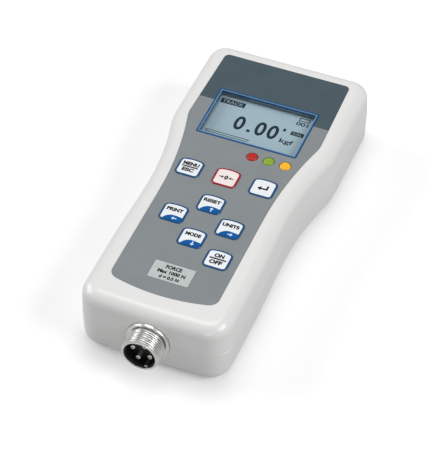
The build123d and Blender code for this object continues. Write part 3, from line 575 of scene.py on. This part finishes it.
LCD_LOW, LCD_HIGH = in_mm("lcd_glass")
LCD_Z = LCD_HIGH[2]
LOAD_BAR_X, LOAD_BAR_Y = -10.4, -9.2
LOAD_BAR_LENGTH, LOAD_BAR_WIDTH, LOAD_BAR_SLANT, LOAD_BAR_LINE = 20.0, 1.5, 1.3, 0.35
FRAME_EDGE_OUTSIDE, FRAME_EDGE_INSIDE = (44.2, 27.7), (43.32, 26.82)
WINDOW_RISE, WINDOW_DROP = 0.08, 0.02


def on_display(x, y):
    """A place on the display, from its middle."""
    return (LCD_LOW[0] + LCD_HIGH[0]) / 2 + x, (LCD_LOW[1] + LCD_HIGH[1]) / 2 + y


# each shape's piece, outlines, place on the display and height
SEGMENT_SHAPES = [
    ("mode_tag", [bar(11.2, 3.0)], -15.6, 10.6, 0.01),
    ("figure_point", [bar(1.5, 1.5)], -3.3, -3.3, 0.02),
    ("stable_mark", [bar(1.2, 1.7)], 11.2, 3.0, 0.02),
    ("side_tag", [bar(5.8, 2.4)], 17.2, 2.4, 0.01),
    ("battery_outline", [bar(4.8, 2.1), bar(4.0, 1.3)], 17.2, 11.7, 0.02),
]
for name, loops, x, y, height in SEGMENT_SHAPES:
    print_shape(name, loops, on_display(x, y), LCD_Z, "segment", height=height)

# each word's piece, text, place on the display, width, height, material and stroke thickening
SEGMENT_WORDS = [
    ("mode_tag_word", "TRACK", -15.6, 10.6, 9.4, 1.8, "pale_segment", 0.0),
    ("figure_units", "0", -8.3, -0.1, 4.6, 8.6, "segment", 0.025),
    ("figure_tenths", "0", 1.4, -0.2, 4.6, 8.6, "segment", 0.025),
    ("figure_hundredths", "0", 7.0, -0.2, 4.6, 8.6, "segment", 0.025),
    ("side_tag_word", "CAL", 17.2, 2.4, 4.2, 1.2, "pale_segment", 0.0),
    ("unit_word", "kgf", 14.4, -3.9, 6.2, 3.4, "segment", 0.02),
    ("count_figure", "001", 17.0, 9.0, 5.4, 2.2, "segment", 0.02),
]
for name, words, x, y, width, height, material, bold in SEGMENT_WORDS:
    print_words(name, words, on_display(x, y), LCD_Z, (width, height), material, bold=bold)


def load_bar(inset):
    """The outline of the load bar moved inwards, with its slanted right end."""
    right = LOAD_BAR_LENGTH / 2 - inset
    top = LOAD_BAR_WIDTH / 2 - inset
    return [(-right, -top), (right - LOAD_BAR_SLANT, -top), (right, top), (-right, top)]


bar_place = on_display(LOAD_BAR_X, LOAD_BAR_Y)
print_shape("load_bar", [load_bar(0.0), load_bar(LOAD_BAR_LINE)], bar_place, LCD_Z, "segment")

# the frame's inner edge is pale, which leaves a thin blue line round the display
FRAME_TOP = in_mm("display_frame")[1][2]
frame_loops = [bar(*FRAME_EDGE_OUTSIDE), bar(*FRAME_EDGE_INSIDE)]
print_shape("frame_edge", frame_loops, on_display(0, 0), FRAME_TOP, "frame_edge")

# the window is made again a hair above the display glass, so that the two faces don't meet
corners = [
    (WINDOW_LOW[0], WINDOW_LOW[1]),
    (WINDOW_HIGH[0], WINDOW_LOW[1]),
    (WINDOW_HIGH[0], WINDOW_HIGH[1]),
    (WINDOW_LOW[0], WINDOW_HIGH[1]),
]
levels = (WINDOW_LOW[2] + WINDOW_RISE, WINDOW_HIGH[2] - WINDOW_DROP)
points = [(x, y, z) for z in levels for x, y in corners]
faces = [(3, 2, 1, 0), (4, 5, 6, 7), (0, 1, 5, 4), (1, 2, 6, 5), (2, 3, 7, 6), (3, 0, 4, 7)]
window = add_solid("window_slab", points, faces, "window")
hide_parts("display_window")


# Words on the plate under the keys

PLATE_LOW, PLATE_HIGH = in_mm("range_plate")
plate_x = (PLATE_LOW[0] + PLATE_HIGH[0]) / 2
plate_y = (PLATE_LOW[1] + PLATE_HIGH[1]) / 2
# each word's piece, text, shift from the plate's middle, width and height
PLATE_WORDS = [
    ("plate_kind", "FORCE", 2.7, 7.0, 2.0),
    ("plate_range", "Max 1000 N", -0.1, 12.0, 1.9),
    ("plate_step", "d = 0.5 N", -2.9, 8.6, 1.8),
]
for name, words, shift_y, width, height in PLATE_WORDS:
    print_words(name, words, (plate_x, plate_y + shift_y), PLATE_HIGH[2], (width, height), "ink", bold=0.045)


# Connector shell with its screw thread

THREAD_START, THREAD_FADE_IN, THREAD_END, THREAD_FADE_OUT = 0.35, 0.4, 0.1, 0.3
GROOVE_WIDTH, GROOVE_SLOPE = 1.2, 2.9
SHELL_STEPS, THREAD_STEP = 144, 0.08
NECK_RADIUS, RIM_RADIUS, RIM_BEVEL_STEP = 7.3, 7.55, 0.09


def held(value):
    """A value held between 0 and 1."""
    return min(1.0, max(0.0, value))


def thread_radius(y, turn):
    """The thread's radius at a place along the axis and a part of a turn, faded at both ends."""
    phase = ((y - turn * THREAD_PITCH) / THREAD_PITCH) % 1.0
    groove = held(GROOVE_WIDTH - abs(phase - 0.5) * GROOVE_SLOPE)
    start = held((y - RIM_Y - THREAD_START) / THREAD_FADE_IN)
    end = held((NECK_Y - THREAD_END - y) / THREAD_FADE_OUT)
    return THREAD_RADIUS - THREAD_DEPTH * groove * start * end


def make_shell():
    """The shell as rings of points: rim, thread, neck, flange, seat and tail."""
    rows = [(RIM_Y, SHELL_BORE), (RIM_Y, NECK_RADIUS), (RIM_Y, RIM_RADIUS)]
    rows += [(RIM_Y + RIM_BEVEL_STEP * n, RIM_RADIUS + RIM_BEVEL_STEP * n) for n in range(1, 5)]
    y = RIM_Y + 5 * RIM_BEVEL_STEP
    while y < NECK_Y:
        rows.append((y, None))
        y += THREAD_STEP
    rows += [(NECK_Y, THREAD_RADIUS), (NECK_Y, NECK_RADIUS), (FLANGE_Y, NECK_RADIUS)]
    rows += [(FLANGE_Y, FLANGE_RADIUS - 0.25), (FLANGE_Y + 0.1, FLANGE_RADIUS - 0.06)]
    rows += [(FLANGE_Y + 0.25, FLANGE_RADIUS), (SEAT_Y, FLANGE_RADIUS), (SEAT_Y, THREAD_RADIUS)]
    rows += [(SHELL_END_Y, THREAD_RADIUS), (SHELL_END_Y, SHELL_BORE)]
    points = []
    for y, radius in rows:
        for n in range(SHELL_STEPS):
            r = thread_radius(y, n / SHELL_STEPS) if radius is None else radius
            a = 2 * pi * n / SHELL_STEPS
            points.append((r * cos(a), y, AXIS_Z + r * sin(a)))
    faces = []
    for row in range(len(rows)):
        here = row * SHELL_STEPS
        after = (row + 1) % len(rows) * SHELL_STEPS
        for n in range(SHELL_STEPS):
            m = (n + 1) % SHELL_STEPS
            faces.append((here + n, after + n, after + m, here + m))
    return add_solid("threaded_shell", points, faces, "thread")


shell = make_shell()
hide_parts("connector_shell")

# the key inside the shell, at the angle where the plug's slot meets it
NUB_ANGLE = radians(-67.0)
NUB_INSIDE, NUB_OUTSIDE, NUB_HALF_WIDTH = 5.9, 7.3, 0.7
NUB_START, NUB_END = 0.7, 5.0
points = []
for y in (RIM_Y + NUB_START, RIM_Y + NUB_END):
    for r, side in ((NUB_INSIDE, -1), (NUB_INSIDE, 1), (NUB_OUTSIDE, 1), (NUB_OUTSIDE, -1)):
        w = side * NUB_HALF_WIDTH
        x = r * cos(NUB_ANGLE) - w * sin(NUB_ANGLE)
        points.append((x, y, AXIS_Z + r * sin(NUB_ANGLE) + w * cos(NUB_ANGLE)))
faces = [(0, 1, 2, 3), (7, 6, 5, 4), (0, 4, 5, 1), (1, 5, 6, 2), (2, 6, 7, 3), (3, 7, 4, 0)]
add_solid("shell_key", points, faces, "nickel")

# a small dark disc at each contact pin's tip: painted shade standing for its hollow
PIN_TIP_Y = in_mm("connector_pins")[0][1]
PIN_ANGLES = [radians(68 + 90 * n) for n in range(4)]
PIN_RING_RADIUS, HOLLOW_RADIUS, HOLLOW_STEPS = 4.0, 0.45, 16
HOLLOW_PROUD, HOLLOW_SUNK = 0.012, 0.05
points = []
faces = []
for angle in PIN_ANGLES:
    near = list(range(len(points), len(points) + HOLLOW_STEPS))
    for y in (PIN_TIP_Y - HOLLOW_PROUD, PIN_TIP_Y + HOLLOW_SUNK):
        for step in range(HOLLOW_STEPS):
            a = 2 * pi * step / HOLLOW_STEPS
            x = PIN_RING_RADIUS * cos(angle) + HOLLOW_RADIUS * cos(a)
            points.append((x, y, AXIS_Z + PIN_RING_RADIUS * sin(angle) + HOLLOW_RADIUS * sin(a)))
    faces += [tuple(near), tuple(n + HOLLOW_STEPS for n in reversed(near))]
    faces += [(n, n + HOLLOW_STEPS, m + HOLLOW_STEPS, m) for n, m in zip(near, near[1:] + near[:1])]
add_solid("pin_tip_painted_shade", points, faces, "dark_plastic")


# Smooth shading on the curved surfaces

SHARP_ANGLE = radians(32)
for piece in [shell] + list(nodes.values()):
    piece.data.shade_smooth()
    piece.data.set_sharp_from_angle(angle=SHARP_ANGLE)


# Floor, light and camera

FLOOR_REACH = 6
# the floor's paleness to light, what the camera sees more of it, and its own glow
FLOOR_BASE, FLOOR_CAMERA, FLOOR_GLOW = 0.46, 0.4, 0.2
# the world's strength as light, and what the camera and reflections see more of it
WORLD_BASE, WORLD_CAMERA, WORLD_GLOSSY = 0.28, 0.72, 0.3


def seen_by(tree, ray):
    """1 for one kind of ray and 0 for the others."""
    return tree.nodes.new("ShaderNodeLightPath").outputs[ray]


def times(tree, value, factor, plus=0.0):
    """A socket's value times a factor, plus a constant."""
    node = tree.nodes.new("ShaderNodeMath")
    node.operation = "MULTIPLY_ADD"
    tree.links.new(value, node.inputs[0])
    node.inputs[1].default_value = factor
    node.inputs[2].default_value = plus
    return node.outputs[0]


def total(tree, first, second):
    """The sum of two sockets' values."""
    node = tree.nodes.new("ShaderNodeMath")
    tree.links.new(first, node.inputs[0])
    tree.links.new(second, node.inputs[1])
    return node.outputs[0]


floor_mesh = bpy.data.meshes.new("floor")
floor_corners = [(x * FLOOR_REACH, y * FLOOR_REACH, 0) for x, y in ((-1, -1), (1, -1), (1, 1), (-1, 1))]
floor_mesh.from_pydata(floor_corners, [], [(0, 1, 2, 3)])
floor = bpy.data.objects.new("floor", floor_mesh)
scene.collection.objects.link(floor)
floor_material = bpy.data.materials.new("floor")
floor_material.use_nodes = True
tree = floor_material.node_tree
tree.nodes.clear()
output = tree.nodes.new("ShaderNodeOutputMaterial")
matt = tree.nodes.new("ShaderNodeBsdfDiffuse")
paleness = times(tree, seen_by(tree, "Is Camera Ray"), FLOOR_CAMERA, FLOOR_BASE)
tree.links.new(paleness, matt.inputs["Color"])
glow = tree.nodes.new("ShaderNodeEmission")
seen = total(tree, seen_by(tree, "Is Camera Ray"), seen_by(tree, "Is Glossy Ray"))
tree.links.new(times(tree, seen, FLOOR_GLOW), glow.inputs["Strength"])
both = tree.nodes.new("ShaderNodeAddShader")
tree.links.new(matt.outputs[0], both.inputs[0])
tree.links.new(glow.outputs[0], both.inputs[1])
tree.links.new(both.outputs[0], output.inputs["Surface"])
floor_mesh.materials.append(floor_material)

# the world lights the object softly, and is white to the camera and paler in reflections
world = bpy.data.worlds.new("studio")
scene.world = world
world.use_nodes = True
tree = world.node_tree
background = tree.nodes["Background"]
background.inputs["Color"].default_value = (1, 1, 1, 1)
camera_part = times(tree, seen_by(tree, "Is Camera Ray"), WORLD_CAMERA, WORLD_BASE)
glossy_part = times(tree, seen_by(tree, "Is Glossy Ray"), WORLD_GLOSSY)
tree.links.new(total(tree, camera_part, glossy_part), background.inputs["Strength"])


def add_light(name, place, size, power):
    """A rectangular lamp that faces the origin."""
    lamp = bpy.data.lights.new(name, "AREA")
    lamp.shape = "RECTANGLE"
    lamp.size, lamp.size_y = size
    lamp.energy = power
    holder = bpy.data.objects.new(name, lamp)
    holder.location = place
    holder.rotation_euler = (-Vector(place)).to_track_quat("-Z", "Y").to_euler()
    scene.collection.objects.link(holder)


add_light("left_light", (-1.15, 0.0, 0.62), (0.9, 0.7), 8.3)
add_light("top_light", (-0.12, 0.29, 1.16), (0.7, 0.7), 4.1)
add_light("right_light", (0.95, 0.0, 0.75), (0.8, 0.6), 7.1)
add_light("front_light", (0.25, -1.10, 0.35), (0.5, 0.4), 1.8)

# the camera's turns in degrees and its offset in units of the fit to the photograph's outlines
CAMERA_ROLL, CAMERA_TILT, CAMERA_TURN = 0.07, -44.0, -22.16
CAMERA_OFFSET = Vector((5.4702, 25.9548, -1281.1147))
MM_PER_UNIT = 0.75
FIT_ORIGIN = Vector((0, 0.0064, 0.030))
FOCAL_PIXELS, PHOTO_PIXELS, SENSOR_HEIGHT = 2300, 449, 36.0
turn = Matrix.Rotation(radians(CAMERA_ROLL), 3, "Z") @ Matrix.Rotation(radians(CAMERA_TILT), 3, "X")
turn = turn @ Matrix.Rotation(radians(CAMERA_TURN), 3, "Z")
place = FIT_ORIGIN - turn.transposed() @ (CAMERA_OFFSET * MM_PER_UNIT * MM)
camera_data = bpy.data.cameras.new("camera")
camera_data.sensor_fit = "VERTICAL"
camera_data.sensor_height = SENSOR_HEIGHT
camera_data.lens = FOCAL_PIXELS / PHOTO_PIXELS * SENSOR_HEIGHT
camera_data.clip_end = 20
camera = bpy.data.objects.new("camera", camera_data)
camera.matrix_world = Matrix.Translation(place) @ turn.transposed().to_4x4()
scene.collection.objects.link(camera)
scene.camera = camera
scene.view_settings.view_transform = "Standard"
